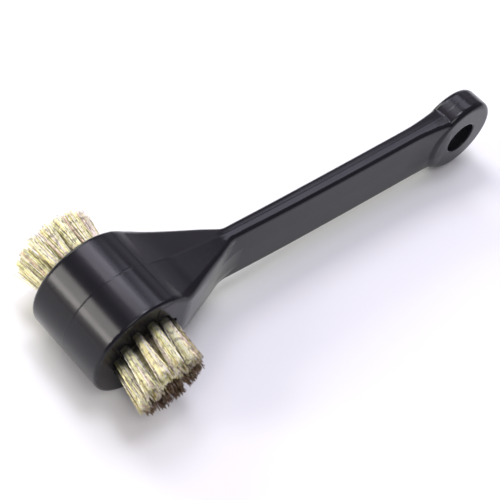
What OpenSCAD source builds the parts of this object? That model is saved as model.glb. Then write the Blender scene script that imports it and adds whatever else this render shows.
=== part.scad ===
// Double-ended club groove brush: a one-piece plastic body with a round head, a wedge neck, a bar handle
// and a hanging eye, and wire tufts in both ends of the head, each held by a flat anchor.
// Millimetres. The origin is the centre of the hanging hole, -X runs along the handle to the head,
// Y is the axis of the head, of the tufts and of the hole, and +Z is up.

/* [Head] */
// Diameter of the round head
head_d = 38; // [36:0.5:42]
// Length of the head between its flat ends
head_len = 31.2; // [30:0.2:36]
// Radius of the rounded rims of the head
head_edge = 1.2; // [0.6:0.1:2]
// Distance from the axis of the head to the centre of the hanging hole
arm_len = 160; // [140:1:180]
// Height of the axis of the head above the middle of the handle
head_rise = 3; // [0:0.1:3]

/* [Neck] */
// Distance from the axis of the head to the fold where the neck becomes the handle
neck_len = 45; // [42:1:52]
// Height of the top of the neck above the axis of the head, where the two meet
neck_top = 16.3; // [14:0.1:16.4]
// Distance from the axis of the head at which its flat ends turn into the sides of the neck
shoulder_x = 13; // [12:0.1:16]

/* [Handle] */
// Height of the handle
handle_h = 22.4; // [20:0.2:24]
// Thickness of the handle
handle_t = 6.4; // [5:0.2:8]
// Radius of the long edges of the handle
handle_edge = 1.4; // [0.6:0.1:2]

/* [Eye] */
// Diameter of the hanging eye
eye_d = 30.4; // [28:0.2:36]
// Thickness of the hanging eye
eye_t = 10.4; // [9:0.2:13]
// Radius of the rounded rims of the eye
eye_edge = 2.2; // [1:0.1:3]
// Diameter of the hanging hole
hang_hole_d = 12.6; // [8:0.2:16]

/* [Tufts] */
// Tufts in the outer ring of the front end
front_outer_count = 12; // [10:1:16]
// Tufts in the outer ring of the rear end
rear_outer_count = 16; // [12:1:16]
// Angle by which the rear outer ring is turned
rear_turn = 3; // [0:1:10]
// Radius of the outer ring of holes
outer_ring = 10.4; // [10:0.1:12]
// Tufts in the inner ring of each end
inner_count = 6; // [3:1:6]
// Angle by which the inner rings are turned
inner_turn = 30; // [0:5:55]
// Radius of the inner ring of holes
inner_ring = 5.2; // [4.6:0.1:5.6]
// Diameter of a tuft in its hole
tuft_d = 3; // [2.4:0.1:3.2]
// Diameter of a tuft at its open end
tip_d = 3.8; // [3:0.1:4.2]
// Length of a tuft outside the head
tuft_len = 15; // [12:0.5:20]
// Angle by which the front tufts are set over, away from the handle and down
front_lean = 7; // [0:0.5:8]
// Angle by which the outer rear tufts spread from the axis of the head
rear_spread = 6; // [0:0.5:7]

/* [Anchors] */
// Depth of the tuft holes
hole_depth = 9.5; // [8:0.1:11]
// Thickness of the flat anchor wire
anchor_t = 0.4; // [0.3:0.05:0.5]
// Height of the flat anchor wire along the hole
anchor_h = 1.6; // [1.2:0.1:2]

/* [Hidden] */
$fn = 96;
head_r = head_d / 2;
face_y = head_len / 2;
eye_r = eye_d / 2;
hole_r = hang_hole_d / 2;
tuft_r = tuft_d / 2;
tuft_gap = 0.05;                      // space between a tuft and its hole
tuft_low = face_y - hole_depth + 0.3; // the fold of the wires, just above the bottom of the hole
anchor_gap = 0.02;                    // space round an anchor in the body and in the wires
anchor_len = tuft_d + 1.0;            // an anchor bites half a millimetre into each side of its hole
anchor_y = face_y - hole_depth + 1.2; // inner edge of an anchor, clear of the bottom of the hole
bend_y = face_y + 0.5;                // the wires run straight for half a millimetre, then lean
bend_r = tuft_r - 0.06;               // the leaning stretch starts just inside the straight one
bend_lap = 0.2;
lean_way = [-0.85, -0.52];            // direction of the front tufts' set, in X and Z
overlap = 6;                          // length that the neck and the handle run into each other's end
head_x = -arm_len;
handle_top = handle_h / 2;
neck_top_x = 9;                       // where the top of the neck meets the round of the head
neck_start = 4;                       // the neck's own end, inside the head

// Outline of the neck from the side, X and height from the axis of the head
fold_z = handle_top - head_rise;
floor_z = -handle_top - head_rise;
top_slope = (neck_top - fold_z) / (neck_len - neck_top_x);
side_outline = [
    [neck_start, floor_z],
    [neck_len, floor_z],
    [neck_len, fold_z],
    [neck_start, neck_top + top_slope * (neck_top_x - neck_start)]
];
// Outline of the neck from above, as wide as the head up to its shoulders
plan_outline = [
    [neck_start, -face_y],
    [shoulder_x, -face_y],
    [neck_len, -handle_t / 2],
    [neck_len, handle_t / 2],
    [shoulder_x, face_y],
    [neck_start, face_y]
];

function ring_angle(i, n, turn) = turn + 360 * (i - 1) / n;

// A round disc along Y with rounded rims
module rounded_disc(r, t, edge) {
    rotate([90, 0, 0])
        rotate_extrude() {
            translate([0, -t / 2])
                square([r - edge, t]);
            translate([0, -t / 2 + edge])
                square([r, t - 2 * edge]);
            for (s = [-1, 1])
                translate([r - edge, s * (t / 2 - edge)])
                    circle(edge);
        }
}

// A bar along X with rounded long edges, from x0 to x1
module bar(x0, x1) {
    translate([x0, 0, 0])
        rotate([90, 0, 90])
            linear_extrude(x1 - x0) {
                square([handle_t - 2 * handle_edge, handle_h], center = true);
                square([handle_t, handle_h - 2 * handle_edge], center = true);
                for (sy = [-1, 1])
                    for (sz = [-1, 1])
                        translate([sy * (handle_t / 2 - handle_edge), sz * (handle_h / 2 - handle_edge)])
                            circle(handle_edge);
            }
}

// The wedge between the head and the handle
module neck() {
    translate([head_x, 0, head_rise])
        intersection() {
            rotate([90, 0, 0])
                linear_extrude(head_len + 2, center = true)
                    polygon(side_outline);
            linear_extrude(2 * head_d, center = true)
                polygon(plan_outline);
        }
}

// Places its children on the head's axis, looking out of the front (s = -1) or rear (s = 1) end,
// at the angle a on a ring of radius r
module at_hole(s, a, r) {
    translate([head_x + r * cos(a), 0, head_rise + r * sin(a)])
        rotate([s < 0 ? 90 : -90, 0, 0])
            children();
}

// Every tuft's place at one end
module at_all_holes(s) {
    outer_count = s < 0 ? front_outer_count : rear_outer_count;
    turn = s < 0 ? 0 : rear_turn;
    for (i = [1:outer_count])
        at_hole(s, ring_angle(i, outer_count, turn), outer_ring) children();
    for (i = [1:inner_count])
        at_hole(s, ring_angle(i, inner_count, inner_turn), inner_ring) children();
}

// The flat anchor across a hole, and the slot it makes, grown by gap
module anchor(gap) {
    translate([-anchor_len / 2 - gap, -anchor_t / 2 - gap, anchor_y - gap])
        cube([anchor_len + 2 * gap, anchor_t + 2 * gap, anchor_h + 2 * gap]);
}

module tuft_hole() {
    translate([0, 0, face_y - hole_depth])
        cylinder(h = hole_depth + 1, r = tuft_r + tuft_gap);
    anchor(anchor_gap);
}

// A tuft: straight in its hole, then leaning by an angle about the flat direction way = [x, z]
module tuft_shape(s, lean, way) {
    difference() {
        union() {
            translate([0, 0, tuft_low])
                cylinder(h = bend_y + bend_lap - tuft_low, r = tuft_r);
            translate([0, 0, bend_y])
                rotate(a = lean, v = [s * way[1], way[0], 0])
                    cylinder(h = tuft_len - bend_y + face_y, r1 = bend_r, r2 = tip_d / 2);
        }
        anchor(anchor_gap);
    }
}

module front_tuft(a, r) {
    color("#d9cf9a")
        at_hole(-1, a, r)
            tuft_shape(-1, front_lean, lean_way);
}

module rear_tuft(a, r, spread) {
    color("#d9cf9a")
        at_hole(1, a, r)
            tuft_shape(1, spread, [cos(a), sin(a)]);
}

module anchors(s) {
    color("#b8a060")
        at_all_holes(s)
            anchor(0);
}

module body() {
    color("#2e2e31")
        difference() {
            union() {
                translate([head_x, 0, head_rise])
                    rounded_disc(head_r, head_len, head_edge);
                neck();
                bar(head_x + neck_len - overlap, -hole_r - 2);
                rounded_disc(eye_r, eye_t, eye_edge);
            }
            rotate([90, 0, 0])
                cylinder(h = eye_t + 2, r = hole_r, center = true);
            for (s = [-1, 1])
                at_all_holes(s)
                    tuft_hole();
        }
}

body();
for (i = [1:front_outer_count])
    front_tuft(ring_angle(i, front_outer_count, 0), outer_ring);
for (i = [1:rear_outer_count])
    rear_tuft(ring_angle(i, rear_outer_count, rear_turn), outer_ring, rear_spread);
for (i = [1:inner_count]) {
    a = ring_angle(i, inner_count, inner_turn);
    front_tuft(a, inner_ring);
    rear_tuft(a, inner_ring, rear_spread / 2);
}
anchors(-1);  // front_anchors
anchors(1);  // rear_anchors
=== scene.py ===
from collections import namedtuple
import math

import bpy
import numpy as np
from mathutils import Matrix, Vector


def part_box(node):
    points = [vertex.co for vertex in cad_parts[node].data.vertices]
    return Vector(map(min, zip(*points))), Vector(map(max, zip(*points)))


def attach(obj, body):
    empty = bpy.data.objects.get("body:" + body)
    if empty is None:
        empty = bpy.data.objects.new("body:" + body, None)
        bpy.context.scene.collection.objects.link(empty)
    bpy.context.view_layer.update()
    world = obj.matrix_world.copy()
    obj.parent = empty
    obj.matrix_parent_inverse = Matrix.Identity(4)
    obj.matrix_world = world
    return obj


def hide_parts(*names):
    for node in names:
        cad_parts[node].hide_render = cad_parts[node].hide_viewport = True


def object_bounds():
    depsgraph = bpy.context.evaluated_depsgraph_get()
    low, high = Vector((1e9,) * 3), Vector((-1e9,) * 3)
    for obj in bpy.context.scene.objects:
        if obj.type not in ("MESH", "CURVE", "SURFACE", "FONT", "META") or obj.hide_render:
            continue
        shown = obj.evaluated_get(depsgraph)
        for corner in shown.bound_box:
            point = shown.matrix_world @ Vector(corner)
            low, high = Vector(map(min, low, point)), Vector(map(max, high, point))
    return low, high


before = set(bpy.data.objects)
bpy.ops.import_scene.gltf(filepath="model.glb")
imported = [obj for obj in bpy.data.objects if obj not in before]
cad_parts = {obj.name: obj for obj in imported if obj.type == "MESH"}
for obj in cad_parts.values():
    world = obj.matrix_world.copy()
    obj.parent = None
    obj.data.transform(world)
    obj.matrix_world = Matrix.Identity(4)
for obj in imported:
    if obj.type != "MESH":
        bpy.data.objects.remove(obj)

cad_low, cad_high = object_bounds()
MM = 0.001

# ---------------------------------------------------------------- places, from the CAD
body_low, body_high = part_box("body")
HEAD_R = 19.0
head = Vector((body_low.x + HEAD_R * MM, 0.0, body_high.z - HEAD_R * MM))
floor_z = cad_low.z


def towards(azimuth, elevation):
    """Unit vector to a viewer or a light, in radians. Azimuth 0 is in front and pi / 2 is to the right."""
    return Vector((
        math.sin(azimuth) * math.cos(elevation),
        -math.cos(azimuth) * math.cos(elevation),
        math.sin(elevation)))


# ---------------------------------------------------------------- camera
AZIMUTH, ELEVATION, ROLL = map(math.radians, (-56.78, 48.0, 19.43))
DISTANCE = 0.42618
LENS, SENSOR = 101.45, 36.0
# Where the head lies in view, as tangents from the middle of the view.
HEAD_RIGHT, HEAD_UP = -0.09715, -0.04304
CLIP_NEAR, CLIP_FAR = 0.01, 20


def stand_camera():
    back = towards(AZIMUTH, ELEVATION)
    level = (-back).cross(Vector((0, 0, 1))).normalized()
    rise = level.cross(-back)
    right = math.cos(ROLL) * level + math.sin(ROLL) * rise
    up = math.cos(ROLL) * rise - math.sin(ROLL) * level
    data = bpy.data.cameras.new("camera")
    data.lens, data.sensor_width = LENS, SENSOR
    data.clip_start, data.clip_end = CLIP_NEAR, CLIP_FAR
    camera = bpy.data.objects.new("camera", data)
    bpy.context.scene.collection.objects.link(camera)
    place = head - DISTANCE * (-back + HEAD_RIGHT * right + HEAD_UP * up)
    turn = Matrix((right, up, back)).transposed().to_4x4()
    camera.matrix_world = Matrix.Translation(place) @ turn
    bpy.context.scene.camera = camera


stand_camera()
bpy.context.scene.view_settings.view_transform = "Standard"


# ---------------------------------------------------------------- ways to join two shapes
# A shape is a function of x, y and z that gives the distance to its surface, below 0 inside. All lengths are
# in millimetres, from the head's centre: x to the eye, y along the head, z up.
def rmax(a, b, r):
    """Both: the edge between two faces, rounded by r."""
    return np.minimum(np.maximum(a, b), -r) + np.hypot(np.maximum(a + r, 0), np.maximum(b + r, 0))


def rmin(a, b, r):
    """Either: the corner between two faces, filleted by r."""
    return np.maximum(np.minimum(a, b), r) - np.hypot(np.maximum(r - a, 0), np.maximum(r - b, 0))


def blend_min(a, b, k):
    """The smaller of two numbers, with a smooth change where they are within k."""
    h = np.clip(0.5 + 0.5 * (b - a) / k, 0, 1)
    return b + (a - b) * h - k * h * (1 - h)


# ---------------------------------------------------------------- the body's sizes
HEAD_Y = 15.6
NEAR_RIM, FAR_RIM = 0.9, 1.3

# The neck's sides leave the ends of the head at WEDGE_X and come in by WEDGE_SLOPE per mm.
WEDGE_X, WEDGE_SLOPE = 15.4, 0.4186
# A slanted face's offset grows faster than the distance to it, so each is scaled back.
WEDGE_SCALE, SIDE_SCALE, TOP_SCALE = 0.922, 0.915, 0.96
NECK_X = 45.0
NECK_FROM, NECK_PAST = 2.0, 15.0
NECK_EDGE, NECK_LOWER_EDGE, CUT_RIM_EDGE = 1.7, 1.2, 0.6

# The top starts at the crease with the head. It falls by TOP_SLOPE, and by STEEPER more as far as STEEP_X,
# from where that extra fall eases out over EASE_LONG.
CREASE_X, CREASE_Z = 7.6, 17.42
TOP_SLOPE, STEEPER = 0.162, 0.35
STEEP_X, EASE_LONG = 8.5, 13.0
# It is a shallow roof, highest in the middle, that starts at ROOF_X and is full ROOF_LONG further on.
ROOF_X, ROOF_LONG = 7.0, 8.0
ROOF_SLOPE, ROOF_RISE, ROOF_WIDEST = 0.055, 0.035, 14.5
# The underside is level as far as UNDER_X and then rises to the handle's.
UNDER_Z, UNDER_X, UNDER_SLOPE = -14.15, 36.0, 0.135
# Below the middle the sides tuck in, by TUCK per mm at TUCK_X and by less towards the handle.
TUCK, TUCK_X, TUCK_EASE = 0.13, 16.0, 0.0035
# A ridge runs down each side to the handle. Above it the side leans in, at LEAN_X by LEAN at its upper edge.
RIDGE_X, RIDGE_Z, RIDGE_SLOPE = 17.4, 10.6, 0.42
LEAN, LEAN_X, LEAN_EASE = 1.37, 20.0, 0.07
LEAN_LEAST, LEAN_MOST = 0.15, 1.6
LEAN_HIGH = 2.0
SIDE_BLEND = 1.0

EYE_X, EYE_Z = 160.0, -3.0
EYE_R, EYE_Y, EYE_EDGE = 15.1, 5.2, 2.0
EYE_RISE = 0.25
HOLE_R, HOLE_EDGE = 6.3, 0.5

# The handle is a flat bar that grows from the neck to the eye, over HANDLE_LONG.
HANDLE_LONG = 100.0
HANDLE_HALF, HANDLE_HALF_MORE = 3.3, 0.46
HANDLE_ABOVE, HANDLE_BELOW, HANDLE_MORE = 11.4, 10.9, 0.35
HANDLE_EDGE = 1.2
TOP_CROWN, SIDE_CROWN, SIDE_CROWN_Z = 26.0, 110.0, -3.0
HANDLE_INTO_NECK, HANDLE_SHORT_OF_EYE = 21.0, 9.0
# Its middle line sags between its ends, and it is a little higher next to the neck.
BOW, BOW_SLOPE, BOW_CURVE = 0.4, -1.95, 1.6
LIFT, LIFT_SHARE = 0.35, 0.35
UNDER_LIFT, UNDER_LIFT_SHARE = 0.35, 0.3
# Its sides widen towards the eye, least at the lower edge.
FLARE, FLARE_X, FLARE_LONG = 1.3, 131.0, 18.0
FLARE_DOWN, FLARE_HIGH, FLARE_LEAST = 11.0, 7.0, 0.1

# Fillets: head to neck, neck to handle and handle to eye. The last two grow over FOLD_FADE, on the sides.
HEAD_FOLD = 0.5
NECK_FOLD, NECK_FOLD_MORE = 0.5, 2.1
EYE_FOLD, EYE_FOLD_MORE = 0.4, 1.0
FOLD_FADE = 5.0
NECK_FOLD_TOP, NECK_FOLD_BOTTOM, EYE_FOLD_TOP = 6.0, -13.0, EYE_Z + 9.0

# The mould's parting line, a low bead round the middle.
SEAM_H, SEAM_W, EYE_SEAM_SHARE = 0.035, 0.2, 0.6

# The tuft holes, which are cut only as deep as they can be seen. HOLES_DEEP and HOLES_WIDE hold them all.
TUFT_HOLE_R, TUFT_HOLE_SHOWN, TUFT_HOLE_EDGE = 1.55, 4.0, 0.12
HOLES_DEEP, HOLES_WIDE = 6.0, 14.0
OUTER_RING, INNER_RING = 10.4, 5.2

# A ring of tufts: its end of the head and that end's direction along y, its name, radius, number of tufts and
# turn in degrees, then a tuft's radius in its hole, how much wider it is at its tips, and its lean outwards.
Ring = namedtuple("Ring", "end way name radius count turn tuft spread fan")
RINGS = (
    Ring("front", -1, "outer", OUTER_RING, 12, 0.0, 1.33, 0.42, 0.0),
    Ring("front", -1, "inner", INNER_RING, 6, 30.0, 1.33, 0.42, 0.0),
    Ring("rear", 1, "outer", OUTER_RING, 16, 3.0, 1.25, 0.42, 0.105),
    Ring("rear", 1, "inner", INNER_RING, 6, 30.0, 1.35, 0.95, 0.05),
)


# ---------------------------------------------------------------- the body's shape
def wedge_half(x):
    """Half the neck's width, from above."""
    return HEAD_Y - WEDGE_SLOPE * (x - WEDGE_X)


def head_part(x, y, z):
    rim = np.where(y > 0, FAR_RIM, NEAR_RIM)
    d = rmax(np.hypot(x, z) - HEAD_R, np.abs(y) - HEAD_Y, rim)
    return rmax(d, (np.abs(y) - wedge_half(x)) * WEDGE_SCALE, CUT_RIM_EDGE)


def neck_high(x):
    """The height of the neck's top, without its roof."""
    t = np.clip((x - STEEP_X) / EASE_LONG, 0, 1)
    steep = EASE_LONG * (t - t ** 3 + t ** 4 / 2) + np.clip(x - CREASE_X, 0, STEEP_X - CREASE_X)
    return CREASE_Z - TOP_SLOPE * np.maximum(x - CREASE_X, 0) - STEEPER * steep


def neck_half(x, z):
    """Half the neck's width at a height, with the tuck below and the lean above the ridge."""
    tuck = TUCK - TUCK_EASE * (x - TUCK_X)
    plan = wedge_half(x) - tuck * np.maximum(-z, 0)
    ridge = RIDGE_Z - RIDGE_SLOPE * (x - RIDGE_X)
    lean = np.clip(LEAN - LEAN_EASE * (x - LEAN_X), LEAN_LEAST, LEAN_MOST)
    up = np.maximum(z - ridge, 0) / np.maximum(neck_high(x) - ridge, LEAN_HIGH)
    return blend_min(HEAD_Y, plan - lean * up ** 2, SIDE_BLEND)


def neck_part(x, y, z):
    ay = np.abs(y)
    roof = ROOF_RISE * np.minimum(wedge_half(x), ROOF_WIDEST) - ROOF_SLOPE * ay
    roof = roof * np.clip((x - ROOF_X) / ROOF_LONG, 0, 1)
    top = (z - neck_high(x) - roof) * TOP_SCALE
    under = UNDER_SLOPE * np.maximum(x - UNDER_X, 0) + UNDER_Z - z
    side = (ay - neck_half(x, z)) * SIDE_SCALE
    d = rmax(rmax(top, side, NECK_EDGE), under, NECK_LOWER_EDGE)
    return np.maximum(np.maximum(d, NECK_FROM - x), x - NECK_X - NECK_PAST)


def handle_part(x, y, z):
    t = np.clip((x - NECK_X) / HANDLE_LONG, 0, 1)
    half = HANDLE_HALF + HANDLE_HALF_MORE * t - np.maximum(z - SIDE_CROWN_Z, 0) ** 2 / (2 * SIDE_CROWN)
    flare = FLARE * np.clip((x - FLARE_X) / FLARE_LONG, 0, 1) ** 2
    half = half + flare * np.clip((z - EYE_Z + FLARE_DOWN) / FLARE_HIGH, FLARE_LEAST, 1)
    bow = BOW + BOW_SLOPE * t + BOW_CURVE * t * t + LIFT * np.clip(1 - t / LIFT_SHARE, 0, 1) ** 2
    high = EYE_Z + HANDLE_ABOVE + HANDLE_MORE * t + bow
    low = EYE_Z - HANDLE_BELOW - HANDLE_MORE * t + bow
    low = low + UNDER_LIFT * np.clip(1 - t / UNDER_LIFT_SHARE, 0, 1)
    dz = np.maximum(z - high, low - z) + y * y / (2 * TOP_CROWN)
    dy = np.abs(y) - half
    ends = np.maximum(NECK_X - HANDLE_INTO_NECK - x, x - EYE_X + HANDLE_SHORT_OF_EYE)
    return np.maximum(rmax(dz, dy, HANDLE_EDGE), ends)


def eye_part(x, y, z):
    return rmax(np.hypot(x - EYE_X, z - EYE_Z - EYE_RISE) - EYE_R, np.abs(y) - EYE_Y, EYE_EDGE)


def holes_part(x, y, z):
    """All the tuft holes. Each ring is folded onto one of its holes."""
    far = 1e3
    d = np.full(x.shape, far)
    for way in (-1, 1):
        near = (way * y > HEAD_Y - HOLES_DEEP) & (np.hypot(x, z) < HOLES_WIDE)
        xn, yn, zn = x[near], y[near], z[near]
        r = np.hypot(xn, zn)
        dn = np.full(xn.shape, far)
        for ring in RINGS:
            if ring.way != way:
                continue
            step = 2 * math.pi / ring.count
            a = np.arctan2(zn, xn) - math.radians(ring.turn)
            a = a - step * np.round(a / step)
            dn = np.minimum(dn, np.hypot(r * np.cos(a) - ring.radius, r * np.sin(a)) - TUFT_HOLE_R)
        d[near] = np.maximum(dn, HEAD_Y - TUFT_HOLE_SHOWN - np.abs(yn))
    return d


def body_shape(p):
    x, y, z = p[..., 0], p[..., 1], p[..., 2]
    seam = SEAM_H * np.exp(-(y / SEAM_W) ** 2)
    on_side = np.clip((NECK_FOLD_TOP - z) / FOLD_FADE, 0, 1)
    on_side = on_side * np.clip((z - NECK_FOLD_BOTTOM) / FOLD_FADE, 0, 1)
    d = rmin(neck_part(x, y, z), handle_part(x, y, z), NECK_FOLD + NECK_FOLD_MORE * on_side)
    d = rmin(head_part(x, y, z), d, HEAD_FOLD) - seam
    below = np.clip((EYE_FOLD_TOP - z) / FOLD_FADE, 0, 1)
    d = rmin(d, eye_part(x, y, z) - EYE_SEAM_SHARE * seam, EYE_FOLD + EYE_FOLD_MORE * below)
    d = rmax(d, HOLE_R - np.hypot(x - EYE_X, z - EYE_Z), HOLE_EDGE)
    return rmax(d, -holes_part(x, y, z), TUFT_HOLE_EDGE)


# ---------------------------------------------------------------- from a shape to a mesh
# The grid's first lines are at odd places, so that none of its lines lies in a flat face.
GRID_X, GRID_Y, GRID_Z = (-20.13, EYE_X + EYE_R + 1), (-16.41, 16.4), (-20.17, 20)
CELL, CELL_Y = 0.62, 0.6
SEAM_CELLS = (0, 0.55, 0.1)
GRID_PARTS = 24
SLOPE_STEP = 0.01
SURFACE_STEPS, LEAST_SLOPE = 4, 0.2


def slope(shape, p):
    """How the distance changes along each axis."""
    g = np.empty_like(p)
    for i in range(3):
        step = np.zeros(3)
        step[i] = SLOPE_STEP
        g[..., i] = shape(p + step) - shape(p - step)
    return g / (2 * SLOPE_STEP)


def cell_points(grid, value, at):
    """For each cell, the middle of the places where the surface crosses its edges."""
    total = np.zeros((len(at), 3))
    count = np.zeros(len(at))
    for axis in range(3):
        o1, o2 = [a for a in range(3) if a != axis]
        for u in (0, 1):
            for v in (0, 1):
                a = at.copy()
                a[:, o1] += u
                a[:, o2] += v
                b = a.copy()
                b[:, axis] += 1
                va, vb = value[tuple(a.T)], value[tuple(b.T)]
                hit = (va < 0) != (vb < 0)
                t = np.where(hit, va / np.where(hit, va - vb, 1), 0)[:, None]
                ends = grid[tuple(a.T)] * (1 - t) + grid[tuple(b.T)] * t
                total += ends * hit[:, None]
                count += hit
    return total / count[:, None]


def cell_quads(inside, number):
    """A quad round each grid edge that the surface crosses, facing out."""
    quads = []
    for axis in range(3):
        o1, o2 = [a for a in range(3) if a != axis]
        start = np.moveaxis(inside, axis, 0)[:-1]
        end = np.moveaxis(inside, axis, 0)[1:]
        edge = np.moveaxis(start != end, 0, axis)
        out = np.moveaxis(start & ~end, 0, axis)
        e = np.argwhere(edge)
        e = e[(e[:, o1] > 0) & (e[:, o2] > 0)]
        corners = []
        for u, v in ((1, 1), (0, 1), (0, 0), (1, 0)):
            c = e.copy()
            c[:, o1] -= u
            c[:, o2] -= v
            corners.append(number[tuple(c.T)])
        q = np.stack(corners, 1)
        flip = out[tuple(e.T)] ^ (axis == 1)
        q[~flip] = q[~flip][:, ::-1]
        quads.append(q)
    return np.concatenate(quads)


def skin(shape, xs, ys, zs):
    """A quad mesh on shape = 0: one point in each cell that the surface crosses, moved onto the surface."""
    grid = np.stack(np.meshgrid(xs, ys, zs, indexing="ij"), -1)
    value = np.concatenate([shape(part) for part in np.array_split(grid, GRID_PARTS)])
    inside = value < 0
    nx, ny, nz = [n - 1 for n in inside.shape]
    corners_in = np.zeros((nx, ny, nz), np.int8)
    for i in (0, 1):
        for j in (0, 1):
            for k in (0, 1):
                corners_in += inside[i:i + nx, j:j + ny, k:k + nz]
    crossed = (corners_in > 0) & (corners_in < 8)
    number = np.full(crossed.shape, -1)
    number[crossed] = np.arange(crossed.sum())
    points = cell_points(grid, value, np.argwhere(crossed))
    for _ in range(SURFACE_STEPS):
        g = slope(shape, points)
        points -= g * (shape(points) / np.maximum((g * g).sum(-1), LEAST_SLOPE))[:, None]
    return points, cell_quads(inside, number)


def lines(low, high, step, fine=()):
    """Grid lines from low to high, closer together in each (middle, half width, step) of fine."""
    at = [np.arange(low, high + step, step)]
    for middle, half, small in fine:
        at[0] = at[0][np.abs(at[0] - middle) > half]
        at.append(np.arange(middle - half, middle + half + small / 2, small))
    return np.sort(np.concatenate(at))


def make_piece(name, points, faces):
    """A smooth mesh from points in millimetres."""
    mesh = bpy.data.meshes.new(name)
    mesh.from_pydata((points * MM + np.array(head)).tolist(), [], faces)
    mesh.shade_smooth()
    piece = bpy.data.objects.new(name, mesh)
    bpy.context.scene.collection.objects.link(piece)
    return piece


def make_body():
    """The body, on a grid that is finer at the parting line."""
    xs = lines(*GRID_X, CELL)
    ys = lines(*GRID_Y, CELL_Y, [SEAM_CELLS])
    zs = lines(*GRID_Z, CELL)
    points, quads = skin(body_shape, xs, ys, zs)
    normals = slope(body_shape, points)
    normals /= np.linalg.norm(normals, axis=1)[:, None]
    body = make_piece("brush_body", points, quads.tolist())
    body.data.normals_split_custom_set_from_vertices(normals.tolist())
    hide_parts("body")
    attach(body, "root")
    return body


# ---------------------------------------------------------------- the tufts
rng = np.random.default_rng(7)
WIRES, BUNCHES = 66, 8
WIRE_R, WIRE_SIDES, WIRE_STEPS = 0.13, 5, 16
TUFT_OUT, BURIED = 15.0, 3.2
# The front tufts all lean the same way, by this much in x and z for each mm out of the head.
FRONT_LEAN = (-0.85 * 0.123, -0.52 * 0.123)
# About one turn, and the angle between neighbours that fills a disc evenly, in radians.
ROUND, GOLDEN_ANGLE = 6.28, 2.39996
ROOT_VARIES, LENGTH_VARIES = 0.05, 0.22
SHORT_SHARE, SHORT_BY = 0.1, (0.3, 1.5)
# The distance over which a tuft widens, then how far a wire and a bunch of wires bend away from the rest.
SPREAD_LONG = 6.0
WIRE_BEND, BUNCH_BEND, BEND_POWER, BEND_SCALE = 0.018, 0.026, 1.3, 0.6
CRIMP_PITCH, CRIMP_HEIGHT, CRIMP_FROM = (2.3, 3.3), (0.06, 0.18), 1.5
CRIMP_TURN_VARIES, CRIMP_PHASE_VARIES = 0.5, 0.7
# Painted shade on the front tufts stands in for the shadow on their lower side. It grows across the head
# along the x and z shares below, and up the wire until the last share of it.
SHADE_SLOPE, SHADE_X, SHADE_Z, SHADE_FULL = 0.14, 0.6, -0.8, 0.4
# The inner rear tufts get painted shade, most at their roots, standing in for the shade between the tufts.
REAR_SHADE = 0.5


def wire_lines(centre, way, aim, radius, spread):
    """The middle lines of one tuft's crimped wires, and how far out of the head each of their points is.

    centre is its hole on the face, way (-1 or 1) its end of the head, aim its lean (x, z) per mm.
    """
    i = np.arange(WIRES)
    rad = radius * np.sqrt((i + 0.5) / WIRES)
    ang = i * GOLDEN_ANGLE + rng.uniform(0, ROUND)
    root = np.stack([rad * np.cos(ang), rad * np.sin(ang)], 1) + rng.normal(0, ROOT_VARIES, (WIRES, 2))
    length = TUFT_OUT + rng.normal(0, LENGTH_VARIES, WIRES)
    length = length - (rng.random(WIRES) < SHORT_SHARE) * rng.uniform(*SHORT_BY, WIRES)
    s = np.linspace(0, 1, WIRE_STEPS)[None, :]
    along = -BURIED + s * (length[:, None] + BURIED)
    out = np.clip(along, 0, None)
    grow = 1 + spread * (1 - np.exp(-out / SPREAD_LONG))
    side = root[:, None, :] * grow[..., None]
    bunch = rng.integers(0, BUNCHES, WIRES)
    bend = rng.normal(0, WIRE_BEND, (WIRES, 2)) + rng.normal(0, BUNCH_BEND, (BUNCHES, 2))[bunch]
    side = side + bend[:, None, :] * (out ** BEND_POWER)[..., None] * BEND_SCALE
    side = side + np.array(aim)[None, None, :] * out[..., None]
    turn = rng.uniform(0, ROUND, BUNCHES)[bunch] + rng.normal(0, CRIMP_TURN_VARIES, WIRES)
    phase = rng.uniform(0, ROUND, BUNCHES)[bunch] + rng.normal(0, CRIMP_PHASE_VARIES, WIRES)
    pitch = rng.uniform(*CRIMP_PITCH, WIRES)
    height = rng.uniform(*CRIMP_HEIGHT, WIRES)[:, None] * np.clip(out / CRIMP_FROM, 0, 1)
    wave = height * np.sin(2 * math.pi * along / pitch[:, None] + phase[:, None])
    side = side + wave[..., None] * np.stack([np.cos(turn), np.sin(turn)], 1)[:, None, :]
    line = np.empty((WIRES, WIRE_STEPS, 3))
    line[..., 0] = centre[0] + side[..., 0]
    line[..., 1] = way * (HEAD_Y + along)
    line[..., 2] = centre[1] + side[..., 1]
    return line, out


def wire_tubes(line):
    """A closed tube round each middle line: its points and faces."""
    n, steps, sides = WIRES, WIRE_STEPS, WIRE_SIDES
    run = np.gradient(line, axis=1)
    run /= np.linalg.norm(run, axis=2)[..., None]
    u = np.cross(run, np.array([1.0, 0, 0]))
    u /= np.linalg.norm(u, axis=2)[..., None]
    v = np.cross(run, u)
    k = (np.arange(sides) * 2 * math.pi / sides)[:, None]
    ring = line[:, :, None, :] + WIRE_R * (np.cos(k) * u[:, :, None, :] + np.sin(k) * v[:, :, None, :])
    base = (np.arange(n)[:, None, None] * steps + np.arange(steps - 1)[None, :, None]) * sides
    j = np.arange(sides)[None, None, :]
    j2 = (j + 1) % sides
    walls = np.stack([base + j, base + j2, base + j2 + sides, base + j + sides], -1).reshape(-1, 4)
    first = np.arange(n)[:, None] * steps * sides
    root_caps = first + np.arange(sides)[None, ::-1]
    tip_caps = first + (steps - 1) * sides + np.arange(sides)[None, :]
    return ring.reshape(-1, 3), walls.tolist() + root_caps.tolist() + tip_caps.tolist()


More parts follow.
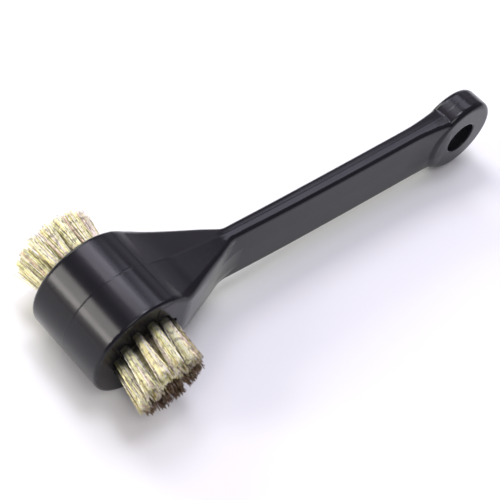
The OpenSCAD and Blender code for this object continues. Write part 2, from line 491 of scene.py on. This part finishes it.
def painted_shade_on(ring, line, share):
    """How much painted shade each point of a wire gets, 0 to 1. It stands in for the shadow on the front
    tufts' lower side and the shade between the rear tufts. The outer rear tufts get none.
    """
    if ring.way < 0:
        lower = np.clip(0.5 + SHADE_SLOPE * (SHADE_X * line[..., 0] + SHADE_Z * line[..., 2]), 0, 1)
        return lower * np.clip(share / SHADE_FULL, 0, 1)
    if ring.name == "inner":
        return REAR_SHADE * (1 - share)
    return 0 * share


def make_tuft(ring, i):
    a = math.radians(ring.turn) + 2 * math.pi * i / ring.count
    outwards = np.array([math.cos(a), math.sin(a)])
    aim = FRONT_LEAN if ring.way < 0 else outwards * ring.fan
    line, out = wire_lines(ring.radius * outwards, ring.way, aim, ring.tuft, ring.spread)
    points, faces = wire_tubes(line)
    node = f"{ring.end}_{ring.name}_tuft_{i + 1}"
    piece = make_piece(node + "_wires", points, faces)
    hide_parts(node)
    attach(piece, "root")
    share = np.clip(out / TUFT_OUT, 0, 1)
    values = {
        "wire_tint": np.repeat(rng.random(WIRES), WIRE_STEPS * WIRE_SIDES),
        "wire_share": np.repeat(share, WIRE_SIDES),
        "wire_soil": np.repeat(painted_shade_on(ring, line, share), WIRE_SIDES),
    }
    for name, value in values.items():
        layer = piece.data.attributes.new(name, "FLOAT", "POINT")
        layer.data.foreach_set("value", value.astype(np.float32))
    return piece


# ---------------------------------------------------------------- materials
PLASTIC_DARK, PLASTIC_PALE = (0.0072, 0.0068, 0.0090, 1), (0.0110, 0.0104, 0.0134, 1)
STEEL_DARK, STEEL_PALE = (0.30, 0.29, 0.27, 1), (0.52, 0.51, 0.49, 1)
# A brown that is painted on the wires as shade.
PAINTED_SHADE = (0.20, 0.14, 0.11, 1)
PAPER = (0.95, 0.95, 0.95, 1)
# The wires' colours: the first and the last, and those between at their places from 0 to 1.
WIRE_FIRST, WIRE_LAST = (0.50, 0.38, 0.16, 1), (0.75, 0.50, 0.42, 1)
WIRE_BETWEEN = (
    (0.1, (0.92, 0.84, 0.36, 1)),
    (0.3, (1.0, 0.96, 0.62, 1)),
    (0.5, (1.0, 0.89, 0.85, 1)),
    (0.68, (0.95, 0.99, 0.50, 1)),
    (0.86, (1.0, 0.97, 0.92, 1)),
)


def material(name):
    m = bpy.data.materials.new(name)
    m.use_nodes = True
    tree = m.node_tree
    return m, tree.nodes, tree.links, tree.nodes["Principled BSDF"]


def node_of(nodes, kind, **values):
    """A new node with its inputs and its settings set by name."""
    n = nodes.new(kind)
    for k, v in values.items():
        if k in n.inputs:
            n.inputs[k].default_value = v
        else:
            setattr(n, k, v)
    return n


def noise(nodes, links, **values):
    """Noise that is fixed to the object."""
    where = nodes.new("ShaderNodeTexCoord")
    n = node_of(nodes, "ShaderNodeTexNoise", **values)
    links.new(where.outputs["Object"], n.inputs["Vector"])
    return n.outputs["Fac"]


def remap(nodes, links, source, old, new):
    """The range old of a value becomes the range new."""
    n = nodes.new("ShaderNodeMapRange")
    n.inputs["From Min"].default_value, n.inputs["From Max"].default_value = old
    n.inputs["To Min"].default_value, n.inputs["To Max"].default_value = new
    links.new(source, n.inputs["Value"])
    return n.outputs["Result"]


def stored(nodes, name):
    """A value that is kept with the mesh's points."""
    n = nodes.new("ShaderNodeAttribute")
    n.attribute_name = name
    return n.outputs["Fac"]


def mixed(nodes, links, share, colour1, colour2):
    """Two colours mixed by a value."""
    n = node_of(nodes, "ShaderNodeMixRGB", Color1=colour1, Color2=colour2)
    links.new(share, n.inputs["Fac"])
    return n.outputs["Color"]


def plastic():
    m, nodes, links, bsdf = material("black_plastic")
    grain = noise(nodes, links, Scale=2600.0, Detail=3.0, Roughness=0.6)
    cloud = noise(nodes, links, Scale=55.0, Detail=4.0, Roughness=0.55)
    links.new(mixed(nodes, links, cloud, PLASTIC_DARK, PLASTIC_PALE), bsdf.inputs["Base Color"])
    links.new(remap(nodes, links, cloud, (0.3, 0.7), (0.17, 0.23)), bsdf.inputs["Roughness"])
    bsdf.inputs["Specular IOR Level"].default_value = 0.3
    bump = node_of(nodes, "ShaderNodeBump", Strength=0.06, Distance=0.0001)
    links.new(grain, bump.inputs["Height"])
    links.new(bump.outputs["Normal"], bsdf.inputs["Normal"])
    return m


def wire_ramp(nodes, links):
    """A colour for each wire."""
    ramp = nodes.new("ShaderNodeValToRGB")
    elements = ramp.color_ramp.elements
    elements[0].color, elements[1].color = WIRE_FIRST, WIRE_LAST
    for place, colour in WIRE_BETWEEN:
        elements.new(place).color = colour
    links.new(stored(nodes, "wire_tint"), ramp.inputs["Fac"])
    return ramp.outputs["Color"]


def brass():
    """The wires' colours, darker in patches of tarnish, with painted shade at the roots and painted shade
    where the tufts would be in shadow.
    """
    m, nodes, links, bsdf = material("brass_wire")
    tarnish = remap(nodes, links, noise(nodes, links, Scale=700.0, Detail=2.0), (0.38, 0.50), (0.55, 1.1))
    # Painted shade: the wires darken towards their roots, where they crowd together at the holes.
    root = remap(nodes, links, stored(nodes, "wire_share"), (0.08, 0.27), (0.12, 1.0))
    tarnish_and_root_shade = node_of(nodes, "ShaderNodeMath", operation="MULTIPLY")
    links.new(tarnish, tarnish_and_root_shade.inputs[0])
    links.new(root, tarnish_and_root_shade.inputs[1])
    shade = node_of(nodes, "ShaderNodeMixRGB", blend_type="MULTIPLY", Fac=1.0)
    links.new(wire_ramp(nodes, links), shade.inputs["Color1"])
    links.new(tarnish_and_root_shade.outputs["Value"], shade.inputs["Color2"])
    # Painted shade: the wires are darkened with a brown where the tufts would be in shadow.
    painted_shade_mix = node_of(nodes, "ShaderNodeMixRGB", blend_type="MULTIPLY", Color2=PAINTED_SHADE)
    links.new(stored(nodes, "wire_soil"), painted_shade_mix.inputs["Fac"])
    links.new(shade.outputs["Color"], painted_shade_mix.inputs["Color1"])
    links.new(painted_shade_mix.outputs["Color"], bsdf.inputs["Base Color"])
    bsdf.inputs["Metallic"].default_value = 0.25
    bsdf.inputs["Roughness"].default_value = 0.33
    return m


def steel():
    m, nodes, links, bsdf = material("steel_wire")
    drawn = noise(nodes, links, Scale=1800.0, Detail=3.0)
    links.new(mixed(nodes, links, drawn, STEEL_DARK, STEEL_PALE), bsdf.inputs["Base Color"])
    bsdf.inputs["Metallic"].default_value = 1.0
    bsdf.inputs["Roughness"].default_value = 0.4
    return m


def floor_paper():
    m, _, _, bsdf = material("floor_paper")
    bsdf.inputs["Base Color"].default_value = PAPER
    bsdf.inputs["Roughness"].default_value = 0.8
    return m


# ---------------------------------------------------------------- the pieces
def build_brush():
    make_body().data.materials.append(plastic())
    wire = brass()
    for ring in RINGS:
        for i in range(ring.count):
            make_tuft(ring, i).data.materials.append(wire)
    anchor = steel()
    for node in ("front_anchors", "rear_anchors"):
        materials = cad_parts[node].data.materials
        materials.clear()
        materials.append(anchor)


build_brush()


# ---------------------------------------------------------------- floor and light
FLOOR_HALF = 3.0
LIGHT_DISTANCE = 1.1
MIDDLE = head + Vector((0.07, 0, 0))


def stage_floor():
    mesh = bpy.data.meshes.new("floor")
    s = FLOOR_HALF
    corners = [(-s, -s, floor_z), (s, -s, floor_z), (s, s, floor_z), (-s, s, floor_z)]
    mesh.from_pydata(corners, [], [(0, 1, 2, 3)])
    mesh.materials.append(floor_paper())
    floor = bpy.data.objects.new("floor", mesh)
    bpy.context.scene.collection.objects.link(floor)


def softbox(name, azimuth, elevation, width, height, power, colour):
    """An area light that faces the middle of the tool. Its angles are those of towards(), in degrees."""
    data = bpy.data.lights.new(name, "AREA")
    data.shape = "RECTANGLE"
    data.size, data.size_y = width, height
    data.energy, data.color = power, colour
    facing = towards(math.radians(azimuth), math.radians(elevation))
    light = bpy.data.objects.new(name, data)
    turn = facing.to_track_quat("Z", "Y").to_matrix().to_4x4()
    light.matrix_world = Matrix.Translation(MIDDLE + facing * LIGHT_DISTANCE) @ turn
    bpy.context.scene.collection.objects.link(light)


def light_world(colour, strength):
    world = bpy.data.worlds.new("world")
    bpy.context.scene.world = world
    world.use_nodes = True
    background = world.node_tree.nodes["Background"]
    background.inputs["Color"].default_value = colour
    background.inputs["Strength"].default_value = strength


stage_floor()
softbox("left_low", 245, 16, 0.30, 0.20, 2.28, (1.0, 0.95, 0.92))
softbox("left_high", 243, 30, 0.28, 0.30, 2.00, (1.0, 0.95, 0.92))
softbox("left_floor", 240, 7, 0.50, 0.20, 0.49, (1.0, 0.92, 0.84))
softbox("over_left", 210, 70, 0.40, 0.40, 0.43, (0.94, 0.87, 1.0))
softbox("back_high", 172, 60, 0.45, 0.35, 2.64, (0.91, 0.86, 1.0))
softbox("back_mid", 150, 55, 0.28, 0.35, 0.82, (0.82, 0.78, 1.0))
softbox("back_low", 180, 28, 0.50, 0.40, 4.62, (0.96, 1.0, 0.86))
softbox("top", 140, 84, 0.30, 0.30, 3.30, (0.88, 0.88, 1.0))
softbox("right", 112, 51, 0.42, 0.40, 1.50, (0.85, 0.82, 1.0))
softbox("front_fill", 320, 60, 0.50, 0.50, 2.50, (1.0, 1.0, 1.0))
softbox("right_back", 120, 18, 0.40, 0.50, 0.30, (0.90, 0.87, 1.0))
light_world((0.92, 0.86, 1, 1), 0.23)
